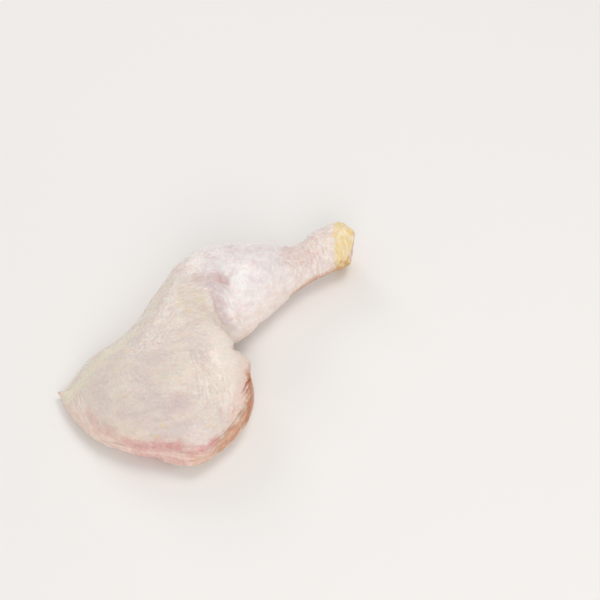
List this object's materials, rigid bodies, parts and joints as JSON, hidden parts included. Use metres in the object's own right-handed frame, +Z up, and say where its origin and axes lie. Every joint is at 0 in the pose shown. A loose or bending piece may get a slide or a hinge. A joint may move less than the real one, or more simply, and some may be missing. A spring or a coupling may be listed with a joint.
{
  "type": "raw chicken leg",
  "caption": "Raw chicken leg with skin on: plump thigh and tapering drumstick bent at the knee, with the sawn bone end showing inside yellow hock skin.",
  "frame": {"origin": "on the surface that the leg lies on, below the middle of its outline seen from above", "axes": "+X along the drumstick towards the hock, which is the longest extent; +Y towards the outer side of the bent knee; +Z up through the skin side, which is the shortest extent"},
  "size_m": [0.2094, 0.1252, 0.0469],
  "materials": {
    "skin": "moist raw skin, cream to pale lilac, pinker at the cut edges and yellow at the hock, soft satin sheen",
    "bone": "wet sawn bone, spongy red marrow inside a thin pale pink wall"
  },
  "bodies": {
    "root": {"leg": "skin", "shank_bone": "bone"}
  },
  "joints": []
}
